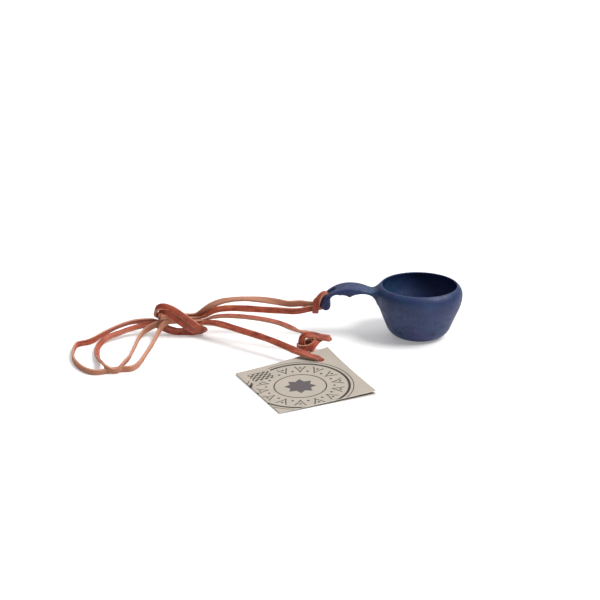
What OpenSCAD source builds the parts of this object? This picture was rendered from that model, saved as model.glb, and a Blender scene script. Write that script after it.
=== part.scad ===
// A small one-piece kuksa cup with a doubled leather lace and a folded card hang tag.
// Millimetres. The origin is the centre of the cup's flat base, +Z is up and the handle points to -X.

/* [Bowl] */
// Radius of the flat base
base_r = 10.5; // [10:0.1:11]
// Radius of the rounded foot between base and wall
foot_r = 11; // [10.5:0.1:11.5]
// Slope of the wall from the vertical, degrees
wall_slope = 21.9; // [21.4:0.1:22.4]
// Largest outside radius of the bowl
belly_r = 27.7; // [27.4:0.1:28]
// Height of the largest radius
belly_z = 28.5; // [28.2:0.1:28.8]
// Radius of the wall's bend into the belly
belly_bend_r = 22.2; // [21.8:0.1:22.6]
// Wall thickness
wall = 2.8; // [2.6:0.1:2.9]
// Radius of the round lip
lip_r = 0.5; // [0.4:0.05:0.6]
// Distance of the lip's centre from the bowl's axis
lip_x = 24.3; // [24:0.1:24.5]
// Height of the rim
rim_z = 34.5; // [34.2:0.1:34.8]

/* [Handle] */
// Width of the handle over the arch
handle_w = 15; // [14:0.5:16]
// Width of the neck beside the bowl
neck_w = 12; // [11:0.5:13]
// Distance of the arch's crest from the bowl's axis
crest_x = 44.5; // [44.2:0.1:44.8]
// Height of the arch's crest
crest_z = 34.2; // [34:0.1:34.4]
// Radius of the arch from crest to tip
tip_arc_r = 22; // [21.8:0.1:22.2]
// Radius of the rounded tip
bulb_r = 3.8; // [3.6:0.1:3.9]
// Direction of the tip from the arch's centre, degrees above the horizontal
bulb_angle = 32; // [31:0.5:33]
// Radius of the finger scallop beside the bowl
big_scallop_r = 13.1; // [12.8:0.1:13.2]
// Radius of the finger scallop beside the tip
small_scallop_r = 7.4; // [7.2:0.1:7.6]

/* [Lace slot] */
// Width of the slot
slot_w = 4.2; // [4:0.1:4.4]
// Length of the slot along the handle
slot_l = 9.2; // [9:0.1:9.4]

/* [Lace] */
// Diameter of the plain round cord that stands for the flat lace
lace_d = 2.4; // [2.3:0.05:2.4]

/* [Hang tag] */
// Side of the square folded tag
tag_side = 62; // [60:0.5:63]
// Thickness of one card leaf
leaf_t = 0.35; // [0.3:0.05:0.4]
// Gap between the two leaves at the fold
leaf_gap = 0.3; // [0.25:0.05:0.35]
// Angle by which the front leaf gapes, degrees
gape = 1.2; // [0.8:0.1:1.2]
// Diameter of the lace hole
tag_hole_d = 4.6; // [4.4:0.1:5]
// Height by which the corner at the lace curls up
curl = 5.2; // [5.1:0.1:5.3]

/* [Hidden] */

CUP = [0.19, 0.25, 0.42];
LEATHER = [0.72, 0.33, 0.2];
CARD = [0.76, 0.71, 0.65];
ARC_STEPS = 10;
BIG = 200;

// --- Outlines of the bowl ---
belly_c = belly_r - belly_bend_r;
lip_z = rim_z - lip_r;
lip_rise = lip_z - belly_z;
belly_run = belly_r - lip_x;
shoulder_r = (belly_run * belly_run + lip_rise * lip_rise - lip_r * lip_r) / (2 * (belly_run - lip_r));
shoulder_c = belly_r - shoulder_r;
shoulder_end = atan2(lip_rise, lip_x - shoulder_c);
inner_run = belly_run - wall;
inner_shoulder_r = (inner_run * inner_run + lip_rise * lip_rise - lip_r * lip_r) / (2 * (inner_run + lip_r));
inner_shoulder_c = belly_r - wall - inner_shoulder_r;
inner_shoulder_end = atan2(lip_rise, lip_x - inner_shoulder_c);

function arc(c, r, from, to, steps = ARC_STEPS) =
    [for (i = [0:steps]) c + r * [cos(from + (to - from) * i / steps), sin(from + (to - from) * i / steps)]];

bowl_outline = concat(
    [[0, 0]],
    arc([base_r, foot_r], foot_r, -90, -wall_slope),
    arc([belly_c, belly_z], belly_bend_r, -wall_slope, 0),
    arc([shoulder_c, belly_z], shoulder_r, 0, shoulder_end),
    arc([lip_x, lip_z], lip_r, shoulder_end, 90),
    [[0, rim_z]]);

cavity_outline = concat(
    [[0, wall]],
    arc([base_r, foot_r], foot_r - wall, -90, -wall_slope),
    arc([belly_c, belly_z], belly_bend_r - wall, -wall_slope, 0),
    arc([inner_shoulder_c, belly_z], inner_shoulder_r, 0, inner_shoulder_end),
    arc([lip_x, lip_z], lip_r, 180 + inner_shoulder_end, 90),
    [[lip_x, rim_z + 1], [0, rim_z + 1]]);

// --- Outlines of the handle, with X measured outwards from the bowl ---
neck_r = 14;
crest_r = 32;
crest_end = 21;
tip_c = [crest_x, crest_z - tip_arc_r];
bulb_c = tip_c + (tip_arc_r - bulb_r) * [cos(bulb_angle), sin(bulb_angle)];
crest_c = [crest_x, crest_z - crest_r];
neck_c = crest_c + (crest_r + neck_r) * [-sin(crest_end), cos(crest_end)];
big_scallop_c = [37.4, 16.5];
small_scallop_c = [50, 21.4];
root_z = 22;

side_outline = concat(
    [[22, root_z], [22, neck_c[1] - neck_r]],
    arc(neck_c, neck_r, -90, -90 + crest_end),
    arc(crest_c, crest_r, 90 + crest_end, 90),
    arc(tip_c, tip_arc_r, 90, bulb_angle, 16),
    arc(bulb_c, bulb_r, bulb_angle, -140, 16),
    [small_scallop_c, big_scallop_c]);

tip_corner = 5.5;
flare_r = 16;
tip_x = bulb_c[0] + bulb_r;
half_plan = concat(
    [[20, 0], [20, 14]],
    arc([27, neck_w / 2 + flare_r], flare_r, -150, -90),
    [[31, neck_w / 2], [39, handle_w / 2]],
    arc([tip_x - tip_corner, handle_w / 2 - tip_corner], tip_corner, 90, 0),
    [[tip_x, 0]]);

slot_angle = 53;
slot_c = tip_c + tip_arc_r * [cos(slot_angle), sin(slot_angle)];

// The groove that carries the lace on round the tip, in the same coordinates as the side outline
groove_outline = [[61.4, 27.4], [61, 24.5], [61.2, 22.6], [62.2, 21.9], [BIG, 21.9], [BIG, 10], [50, 10],
    [50, 27.4]];

// --- Routes of the lace, in order along it ---
hitch_route = [[-66.8, 1.5, 20.4], [-64.6, 1.4, 20.5], [-62.2, 1.2, 20.5], [-60.4, 0.6, 21.3],
    [-59.5, 0.2, 23], [-59.3, 0, 25], [-59.6, 0, 26.8], [-60.8, 0.4, 28.6], [-62.7, 1.4, 27.7],
    [-64.5, 2.6, 25.2], [-65.7, 3.6, 22.2], [-66.4, 4, 19.4], [-66.6, 3.6, 17], [-66.6, 1.8, 15.7],
    [-66.6, -1.8, 15.7], [-66.6, -3.6, 17], [-66.4, -4, 19.4], [-65.7, -3.8, 22.4], [-64.9, -3, 25.6],
    [-63.6, -2.2, 28.4], [-61.6, -1.3, 30.7], [-59.2, -0.4, 31.2], [-57.4, 0, 29.4], [-56.8, -0.1, 27],
    [-57, -0.2, 24.6], [-57.4, -0.5, 21.8], [-58.4, -0.9, 19.4], [-60.4, -1.2, 18.2], [-62.6, -1.4, 18],
    [-65, -1.5, 18.3], [-66.8, -1.5, 18.7]];
lead_upper_route = [[-71.2, 1.6, 20.4], [-84, 2.2, 20.6], [-101, 2.9, 23], [-113, 3.4, 23.4],
    [-124, 3.9, 22.2], [-134, 4.3, 18.6], [-142, 4.6, 14]];
lead_lower_route = [[-71.2, -1.6, 18.6], [-84, -1, 16.8], [-101, -0.5, 17.5], [-113, -0.1, 18.1],
    [-124, 0.2, 18], [-134, 0.8, 15.6], [-141, 2, 12]];
tie_knot_route = [[-142, -1, 9.8], [-133, -4.5, 13.6], [-124, -8.5, 16.2], [-107, -15.6, 17.7],
    [-90, -22.4, 16.8], [-81, -25.6, 14.2], [-75, -27, 11.2]];
tie_tag_route = [[-142, -4, 8.4], [-129.6, -11, 11.6], [-112, -23.5, 11.5], [-95, -36, 10.6],
    [-84, -44.6, 9.2], [-76, -49.6, 7.6], [-70, -52.4, 6.4], [-66.4, -53.7, 6], [-64.5, -54, 5],
    [-63.9, -53.9, 3.2], [-64.3, -52.7, 1.8], [-65.4, -50.4, 1.3], [-68.2, -43.4, 1.3],
    [-70.5, -36, 1.5], [-71.6, -31.6, 3.4]];
outer_loop_route = [[-167, 3, 8.4], [-177, 2, 7.6], [-187, -2, 6], [-197, -6.6, 3.6], [-206, -10.6, 2.2],
    [-213, -16.6, 2.1], [-217, -23, 2.1], [-218.4, -32, 2.1], [-217.4, -42, 2.1], [-214.4, -51.4, 2.1],
    [-209.4, -59.4, 2.1], [-203, -65, 2.1], [-196.6, -66.2, 2.1], [-190.4, -62.8, 2.1], [-184, -61.8, 2.1],
    [-178.8, -60.6, 2.1], [-175.4, -53.6, 2.1], [-173, -42, 2.1], [-171, -28, 2.2], [-169.2, -15, 3.6],
    [-167, -7, 7.4]];
inner_loop_route = [[-168, -1, 8.8], [-178, -4.6, 7], [-188, -8, 5], [-196.6, -13.4, 3], [-202, -20, 2.1],
    [-204, -28.4, 2], [-203, -38, 2.1], [-200.4, -48, 2.2], [-198, -56, 4.4], [-195.8, -61.6, 5.4],
    [-193.4, -65, 4.4], [-190.4, -66.2, 2.6], [-187.2, -65.6, 3], [-185, -63.2, 4.9], [-183.8, -59, 5.1],
    [-182.9, -51.4, 3.2], [-181.6, -40, 2.2], [-180, -26, 2.2], [-178.2, -13, 4.4], [-168, -4.6, 8.8]];
back_end_route = [[-70, -26.4, 10.2], [-62, -26.8, 9.6], [-56.6, -27.6, 8.6]];
front_end_route = [[-70, -29.6, 9.8], [-64.6, -29.8, 9.2], [-59.6, -30.2, 8.4]];

bundle_knot_lobes = [[-164, 3.5, 13, 6.6], [-155, 2.5, 8.4, 8.4], [-144.5, 0.8, 6.8, 5.9]];
stopper_knot_lobes = [[-72.6, -28, 5.5, 5.3], [-71.4, -28, 8, 5]];

// --- The tag's place ---
tag_c = [-73.5, -81, 0];
tag_turn = 26;
curl_power = 3.5;
tag_hole = [0.33 * tag_side, 0.325 * tag_side];
tag_half_diagonal = tag_side / sqrt(2);

function curl_z(d) = curl * pow((d / tag_half_diagonal + 1) / 2, curl_power);

// A closed tube of round section, swept along the points of a route
function unit(v) = v / norm(v);
function tangent(p, i) = unit(p[min(i + 1, len(p) - 1)] - p[max(i - 1, 0)]);
function square_to(v, t) = unit(v - (v * t) * t);
function normals(p, first) =
    [for (i = 0, n = square_to(first, tangent(p, 0)); i < len(p);
        i = i + 1, n = square_to(n, tangent(p, min(i, len(p) - 1)))) n];

module cord(route, d = lace_d, sides = 8, first = [0, 0, 1]) {
    n = normals(route, first);
    count = len(route);
    rings = [for (i = [0:count - 1]) let (t = tangent(route, i), b = cross(t, n[i]))
        for (k = [0:sides - 1]) route[i] + d / 2 * (cos(360 * k / sides) * n[i] + sin(360 * k / sides) * b)];
    walls = [for (i = [0:count - 2], k = [0:sides - 1])
        let (a = i * sides + k, b = i * sides + (k + 1) % sides)
        each [[a, a + sides, b], [b, a + sides, b + sides]]];
    caps = [[for (k = [0:sides - 1]) k], [for (k = [sides - 1:-1:0]) (count - 1) * sides + k]];
    polyhedron(rings, concat(walls, caps));
}

// A knot's outer shape, round its lobes
module knot(lobes) {
    hull() for (lobe = lobes) translate([lobe[0], lobe[1], lobe[2]]) sphere(lobe[3], $fn = 24);
}

module handle_blank() {
    intersection() {
        rotate([90, 0, 0]) linear_extrude(BIG, center = true) polygon(side_outline);
        linear_extrude(BIG, center = true) union() {
            polygon(half_plan);
            mirror([0, 1]) polygon(half_plan);
        }
    }
}

// A slot with round ends, cut square to the arch
module slot_cutter() {
    translate([slot_c[0], 0, slot_c[1]]) rotate([0, 90 - slot_angle, 0]) translate([0, 0, -9]) {
        for (side = [-1, 1]) translate([side * (slot_l - slot_w) / 2, 0, 0]) cylinder(15, d = slot_w, $fn = 32);
        translate([-(slot_l - slot_w) / 2, -slot_w / 2, 0]) cube([slot_l - slot_w, slot_w, 15]);
    }
}

// The groove under the tip, as wide as the slot
module groove_cutter() {
    rotate([90, 0, 0]) linear_extrude(slot_w, center = true) polygon(groove_outline);
}

module scallop_cutter(c, r) {
    translate([c[0], 0, c[1]]) rotate([90, 0, 0]) cylinder(BIG, r = r, center = true, $fn = 64);
}

module cup() {
    color(CUP) difference() {
        union() {
            rotate_extrude($fn = 96) polygon(bowl_outline);
            mirror([1, 0, 0]) difference() {
                handle_blank();
                scallop_cutter(big_scallop_c, big_scallop_r);
                scallop_cutter(small_scallop_c, small_scallop_r);
                slot_cutter();
                groove_cutter();
            }
        }
        rotate_extrude($fn = 96) polygon(cavity_outline);
    }
}

module lace_hitch() {
    color(LEATHER) cord(hitch_route, first = [0, 1, 0]);
}

module lead_strand_upper() {
    color(LEATHER) cord(lead_upper_route);
}

module lead_strand_lower() {
    color(LEATHER) cord(lead_lower_route);
}

module bundle_knot() {
    color(LEATHER) knot(bundle_knot_lobes);
}

module outer_loop() {
    color(LEATHER) cord(outer_loop_route);
}

module inner_loop() {
    color(LEATHER) cord(inner_loop_route);
}

module tie_strand_knot() {
    color(LEATHER) cord(tie_knot_route);
}

module tie_strand_tag() {
    color(LEATHER) cord(tie_tag_route);
}

module stopper_knot() {
    color(LEATHER) knot(stopper_knot_lobes);
}

module lace_ends() {
    color(LEATHER) {
        cord(back_end_route);
        cord(front_end_route);
    }
}

// One square leaf of card in the tag's own axes, curled up along its diagonal, with the lace's hole
module card_leaf() {
    steps = 12;
    run = [for (i = [0:steps]) tag_half_diagonal * (2 * i / steps - 1)];
    sheet = concat([for (d = run) [d, curl_z(d)]],
        [for (i = [steps:-1:0]) [run[i], curl_z(run[i]) + leaf_t]]);
    difference() {
        intersection() {
            rotate(45) rotate([90, 0, 0]) linear_extrude(BIG, center = true) polygon(sheet);
            translate([-tag_side / 2, -tag_side / 2, -1]) cube([tag_side, tag_side, BIG]);
        }
        translate([tag_hole[0], tag_hole[1], -1]) cylinder(BIG, d = tag_hole_d, $fn = 32);
    }
}

module tag_back_leaf() {
    color(CARD) translate(tag_c) rotate(tag_turn) card_leaf();
}

module tag_front_leaf() {
    color(CARD) translate(tag_c) rotate(tag_turn) translate([-tag_side / 2, 0, leaf_t + leaf_gap])
        rotate([0, -gape, 0]) translate([tag_side / 2, 0, 0]) card_leaf();
}

cup();
lace_hitch();
lead_strand_upper();
lead_strand_lower();
bundle_knot();
outer_loop();
inner_loop();
tie_strand_knot();
tie_strand_tag();
stopper_knot();
lace_ends();
tag_back_leaf();
tag_front_leaf();
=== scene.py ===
"""The looks of the kuksa cup with its leather lace and folded hang tag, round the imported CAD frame."""

import math

import bpy
import numpy as np
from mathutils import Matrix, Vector, geometry


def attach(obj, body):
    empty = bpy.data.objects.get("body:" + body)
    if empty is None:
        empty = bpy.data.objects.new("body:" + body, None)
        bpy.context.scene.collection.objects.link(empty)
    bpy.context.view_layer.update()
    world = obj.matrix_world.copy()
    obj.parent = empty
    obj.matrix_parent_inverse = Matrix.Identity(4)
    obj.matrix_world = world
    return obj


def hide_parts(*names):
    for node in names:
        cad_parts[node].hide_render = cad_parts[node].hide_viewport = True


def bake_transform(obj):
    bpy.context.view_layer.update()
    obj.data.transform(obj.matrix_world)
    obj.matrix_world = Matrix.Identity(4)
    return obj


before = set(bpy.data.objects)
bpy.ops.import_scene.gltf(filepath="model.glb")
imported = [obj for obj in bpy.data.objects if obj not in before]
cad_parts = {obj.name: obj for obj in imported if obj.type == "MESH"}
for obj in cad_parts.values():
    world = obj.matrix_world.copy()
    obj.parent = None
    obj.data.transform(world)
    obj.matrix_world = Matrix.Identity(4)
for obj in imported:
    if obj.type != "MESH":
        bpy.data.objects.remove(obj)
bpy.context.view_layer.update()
MM = 0.001
scene = bpy.context.scene


# ---------------------------------------------------------------- camera, floor and light

CAMERA_AT = (-0.0765, -0.8443, 0.335)
CAMERA_DOWN = 20.23
LENS, SENSOR = 84, 36
FLOOR_HALF = 6.0
FLOOR_GREY, FLOOR_GLOW = 0.74, 0.26
ROOM_GLOW, WALL_GLOW = 0.18, 1.1
# each light's name, the way to it, its width in degrees and its strength
LIGHTS = (("key", (1.0, -0.3, 1.45), 28, 3.1), ("top", (0.1, 0.6, 1.0), 90, 1.6))


def make_camera():
    data = bpy.data.cameras.new("camera")
    data.lens, data.sensor_width = LENS, SENSOR
    data.clip_start, data.clip_end = 0.01, 50
    camera = bpy.data.objects.new("camera", data)
    camera.location = CAMERA_AT
    camera.rotation_euler = (math.radians(90 - CAMERA_DOWN), 0, 0)
    scene.collection.objects.link(camera)
    scene.camera = camera


def soft_sun(name, toward, spread, strength):
    """A lamp that lights the whole floor evenly, as a large soft box does."""
    data = bpy.data.lights.new(name, "SUN")
    data.energy, data.angle = strength, math.radians(spread)
    lamp = bpy.data.objects.new(name, data)
    lamp.rotation_mode = "QUATERNION"
    lamp.rotation_quaternion = Vector(toward).to_track_quat("Z", "Y")
    lamp.location = Vector(toward) * 0.5
    scene.collection.objects.link(lamp)


def make_floor():
    mesh = bpy.data.meshes.new("floor")
    corners = [(sx * FLOOR_HALF, sy * FLOOR_HALF, 0) for sx, sy in ((-1, -1), (1, -1), (1, 1), (-1, 1))]
    mesh.from_pydata(corners, [], [(0, 1, 2, 3)])
    floor = bpy.data.objects.new("floor", mesh)
    scene.collection.objects.link(floor)
    material = bpy.data.materials.new("floor_white")
    material.use_nodes = True
    shader = material.node_tree.nodes["Principled BSDF"]
    shader.inputs["Base Color"].default_value = (FLOOR_GREY, FLOOR_GREY, FLOOR_GREY, 1)
    shader.inputs["Roughness"].default_value = 0.9
    shader.inputs["Specular IOR Level"].default_value = 0.1
    shader.inputs["Emission Color"].default_value = (1, 1, 1, 1)
    shader.inputs["Emission Strength"].default_value = FLOOR_GLOW
    mesh.materials.append(material)


def make_room():
    """The camera sees a white wall beyond the floor, and everything else sees a dim one."""
    world = bpy.data.worlds.new("studio")
    world.use_nodes = True
    nodes, links = world.node_tree.nodes, world.node_tree.links
    background = nodes["Background"]
    background.inputs["Color"].default_value = (1, 1, 1, 1)
    path = nodes.new("ShaderNodeLightPath")
    strength = nodes.new("ShaderNodeMapRange")
    strength.inputs["To Min"].default_value = ROOM_GLOW
    strength.inputs["To Max"].default_value = WALL_GLOW
    links.new(path.outputs["Is Camera Ray"], strength.inputs["Value"])
    links.new(strength.outputs[0], background.inputs["Strength"])
    scene.world = world
    scene.view_settings.view_transform = "Standard"


make_camera()
make_floor()
make_room()
for light in LIGHTS:
    soft_sun(*light)


# ---------------------------------------------------------------- node helpers

class Graph:
    """Short calls that add nodes to a material. A number or a socket goes into any input."""

    def __init__(self, name):
        self.material = bpy.data.materials.new(name)
        self.material.use_nodes = True
        self.tree = self.material.node_tree
        self.shader = self.tree.nodes["Principled BSDF"]

    def set(self, socket, value):
        if isinstance(value, bpy.types.NodeSocket):
            self.tree.links.new(value, socket)
        elif value is not None:
            socket.default_value = value

    def node(self, kind, out=0, inputs=(), **settings):
        made = self.tree.nodes.new("ShaderNode" + kind)
        for key, value in settings.items():
            setattr(made, key, value)
        for key, value in dict(inputs).items():
            self.set(made.inputs[key], value)
        return made.outputs[out]

    def math(self, operation, a, b=None, clamp=False):
        made = self.tree.nodes.new("ShaderNodeMath")
        made.operation, made.use_clamp = operation, clamp
        self.set(made.inputs[0], a)
        self.set(made.inputs[1], b)
        return made.outputs[0]

    def mix(self, factor, a, b):
        made = self.tree.nodes.new("ShaderNodeMix")
        made.data_type = "RGBA"
        for k, value in ((0, factor), (6, a), (7, b)):
            self.set(made.inputs[k], value)
        return made.outputs[2]

    def noise(self, vector, scale, detail=3.0, roughness=0.5, distortion=0.0):
        return self.node("TexNoise", 0, {"Vector": vector, "Scale": scale, "Detail": detail,
                                         "Roughness": roughness, "Distortion": distortion})

    def span(self, value, low, high, to_low=0.0, to_high=1.0):
        return self.node("MapRange", 0, {"Value": value, "From Min": low, "From Max": high,
                                         "To Min": to_low, "To Max": to_high})

    def scaled(self, vector, factors):
        return self.node("Mapping", 0, {"Vector": vector, "Scale": factors})

    def ramp(self, factor, stops):
        made = self.tree.nodes.new("ShaderNodeValToRGB")
        self.set(made.inputs[0], factor)
        parts = made.color_ramp.elements
        while len(parts) < len(stops):
            parts.new(0.5)
        for part, (place, color) in zip(parts, stops):
            part.position, part.color = place, color
        return made.outputs[0]

    def bump(self, height, strength, distance):
        return self.node("Bump", 0, {"Height": height, "Strength": strength, "Distance": distance})

    def finish(self, color, rough, specular, normal):
        inputs = self.shader.inputs
        self.set(inputs["Base Color"], color)
        self.set(inputs["Roughness"], rough)
        self.set(inputs["Specular IOR Level"], specular)
        self.set(inputs["Normal"], normal)
        return self.material


def rgb(r, g, b):
    """A linear colour from the 0-255 numbers that a screen shows."""
    def linear(v):
        v /= 255
        return v / 12.92 if v <= 0.04045 else ((v + 0.055) / 1.055) ** 2.4
    return (linear(r), linear(g), linear(b), 1)


def make_object(name, verts_mm, faces, material, uv=None, smooth=True):
    mesh = bpy.data.meshes.new(name)
    verts = np.asarray(verts_mm, float) * MM
    mesh.from_pydata(verts.tolist(), [], [list(map(int, f)) for f in faces])
    mesh.materials.append(material)
    if uv is not None:
        layer = mesh.uv_layers.new(name="mm")
        layer.data.foreach_set("uv", np.asarray(uv, np.float32).ravel())
    if smooth:
        mesh.polygons.foreach_set("use_smooth", [True] * len(mesh.polygons))
    mesh.update()
    made = bpy.data.objects.new(name, mesh)
    scene.collection.objects.link(made)
    return made


# ---------------------------------------------------------------- the leather lace

LACE_W, LACE_T, LACE_CORNER = 4.1, 1.7, 0.42
# the curve's own spacing, the spacing of the rings and the smoothing of both, in mm along the lace
FINE_STEP, LEAST_STEPS = 0.15, 6
RING_STEP, LINE_BLUR, FACE_BLUR = 0.8, 0.8, 1.6
# the lace is narrower and thinner in the two loops, which lie beyond LOOPS_X
LOOPS_X, LOOPS_FADE, LOOPS_NARROW, LOOPS_THIN = -171, 8, 0.1, 0.12
# how much the width and the thickness wander, and over what lengths
WIDTH_WANDER, WIDTH_WAVES = 0.035, (13, 29, 47)
THICK_WANDER, THICK_WAVES = 0.05, (9, 21, 34)
FLOOR_REACH = 0.5
# the cut ends: a smaller ring set out a little, then a cap. END_U is the uv of a cut edge
END_SCALE, END_OUT, CAP_OUT, END_U = 0.86, 0.18, 0.2, 4.4
BACK, FRONT, DOWN = (0, 1, 0), (0, -1, 0), (0, 0, -1)

# Each row is x, y, z in mm, and the way that the grain side faces where it is given.
HALF_A = [
    (-66.6, 0, 15.7, DOWN), (-66.6, 1.8, 15.9, (0, .25, -1)), (-66.6, 3.0, 17.2, (0, 1, -.6)),
    (-66.4, 3.4, 19.6, BACK), (-65.8, 3.2, 22.2, (-.2, 1, .1)), (-64.8, 2.4, 24.2, (-.7, .7, .4)),
    (-63.4, 1.4, 26, (-.7, .2, .7)), (-61.9, .6, 27.3, (-.6, .2, .8)), (-60.5, .2, 27.3, (.3, 0, 1)),
    (-59.8, 0, 26, (.84, 0, .55)), (-59.5, 0, 24.9, (1, 0, .1)), (-59.7, .3, 22.9, (1, 0, -.3)),
    (-60.7, .8, 21.3, (.5, 0, -.9)), (-62.4, 1.1, 20.6, DOWN),
    (-65, 1.1, 20.5, (0, .8, -.5)), (-67.6, .95, 20.4, BACK),
    (-70.4, 1.2, 20.4, BACK), (-75.5, 1.8, 20.9, BACK), (-84, 2.2, 20.5, (0, 1, .1)),
    (-92.7, 2.6, 21.9, None), (-101.4, 2.9, 23, (0, .5, -.87)), (-112.9, 3.4, 23.4, (0, .1, -1)),
    (-121.6, 3.8, 22.6, None), (-128.5, 4.1, 21, None), (-134.4, 4.3, 18.1, (.3, .6, -.7)),
    # round the bundle
    (-139, 4.8, 14.6, (0, .9, .3)), (-144, 5.4, 11, (0, 1, .2)), (-150, 5.9, 10.4, (0, 1, .1)),
    (-157, 5.6, 11.2, (0, 1, .1)), (-163, 4.6, 11.6, (-.3, 1, 0)), (-167.6, 2.6, 12.2, (-.9, .3, 0)),
    (-169.8, .6, 14.8, (-1, 0, .2)), (-168.4, -1.6, 18.8, (-.7, -.3, .6)),
    (-164.3, -3.6, 20.8, (-.3, -.7, .6)), (-159.4, -4.9, 20, (-.1, -.95, .3)),
    (-154.2, -5.7, 17, (-.1, -.95, .3)),
    (-148.6, -6, 12.7, (-.1, -.95, .3)), (-143.6, -5.8, 8.6, (.1, -.95, .1)),
    (-139.8, -4.8, 5.9, (.4, -.85, -.2)), (-138, -2.6, 4.2, (.8, -.5, -.3)),
    (-140.5, -.4, 2.6, (.3, -.9, -.2)),
    (-146, .6, 2.2, (0, -1, .1)), (-153, 1, 2.2, (0, -1, .1)), (-159, 1, 2.8, (0, -1, .1)),
    (-164, 1.2, 4.8, (0, -1, 0)), (-169, 2.4, 7.4, (0, -1, -.2)),
    # outer loop
    (-176.3, 3.9, 8, (0, -.9, -.4)), (-186.9, 3.9, 6.8, (0, -.8, -.6)), (-196.9, -1.6, 4.8, (.3, -.8, -.5)),
    (-203, -8.6, 3.6, (.4, -.8, -.2)), (-208.9, -16.4, 2.5, (.5, -.8, .1)),
    (-214.4, -19.3, 2.2, (.5, -.8, 0)),
    (-217.5, -21.6, 2.1, (.8, -.4, 0)), (-218.4, -31.1, 2.1, (1, 0, 0)), (-217.5, -40.8, 2.1, (1, .1, 0)),
    (-214.6, -50.4, 2.1, (.9, .4, 0)), (-209.6, -59.4, 2.1, (.7, .7, 0)),
    (-203.8, -65.2, 2.1, (.4, .9, .1)),
    (-199, -66.6, 2.1, (0, 1, .2)), (-194.6, -65, 2.1, (0, 1, .2)), (-190, -62.8, 2.1, (0, 1, .2)),
    (-184.5, -61.9, 2.1, (-.1, 1, .1)), (-179.1, -61, 2.1, (-.5, .8, 0)),
    (-175.8, -55.8, 2.1, (-.9, .3, .1)),
    (-174, -47.8, 2.1, (-1, .1, .25)), (-172.5, -38.2, 2.1, (-1, .1, .3)),
    (-170.9, -27.5, 2.2, (-1, .1, .3)),
    (-168.8, -15, 3.2, (-1, .2, .3)), (-166.9, -6, 5.4, (-.9, .5, .2)),
    # through the bundle
    (-165, -5, 8.4, (-.6, .8, .1)), (-162, -4, 10.4, (-.3, 1, 0)),
    (-157.5, -2.6, 11.6, (0, 1, .2)), (-151, -1.8, 10.4, (0, 1, .2)), (-144.5, -1.8, 9.2, (0, .8, .5)),
    (-137, -1.6, 11.2, (0, .1, 1)),
    # tie strand to the small knot
    (-133, -4.9, 13.9, (0, -.1, 1)), (-124, -8.5, 16.2, (0, -.1, 1)), (-107, -15.6, 17.7, (0, -.1, 1)),
    (-90, -22.4, 16.8, (0, -.1, 1)), (-80, -26.2, 14, (0, -.1, 1)),
    (-76.6, -25.8, 12.4, (0, .3, 1)), (-72.4, -23.6, 10.4, (.1, .9, .4)), (-69.2, -24, 6.6, (.6, .8, -.1)),
    (-69.2, -26.6, 2.6, (.5, .2, -.85)), (-72.2, -29, 1.5, (0, -.3, -1)),
    (-74.6, -30.4, 3, (-.1, -.9, -.4)), (-75.3, -31.2, 5.8, (-.1, -1, 0)), (-75.6, -31.4, 9, (0, -1, .2)),
    (-73.6, -31, 11.8, (.1, -.85, .5)), (-69, -30.2, 11.9, (.1, -.8, .6)),
    (-63.6, -29.7, 10.3, (.1, -.8, .6)),
    (-58, -29.9, 9.2, (.1, -.7, .7)),
]
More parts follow.
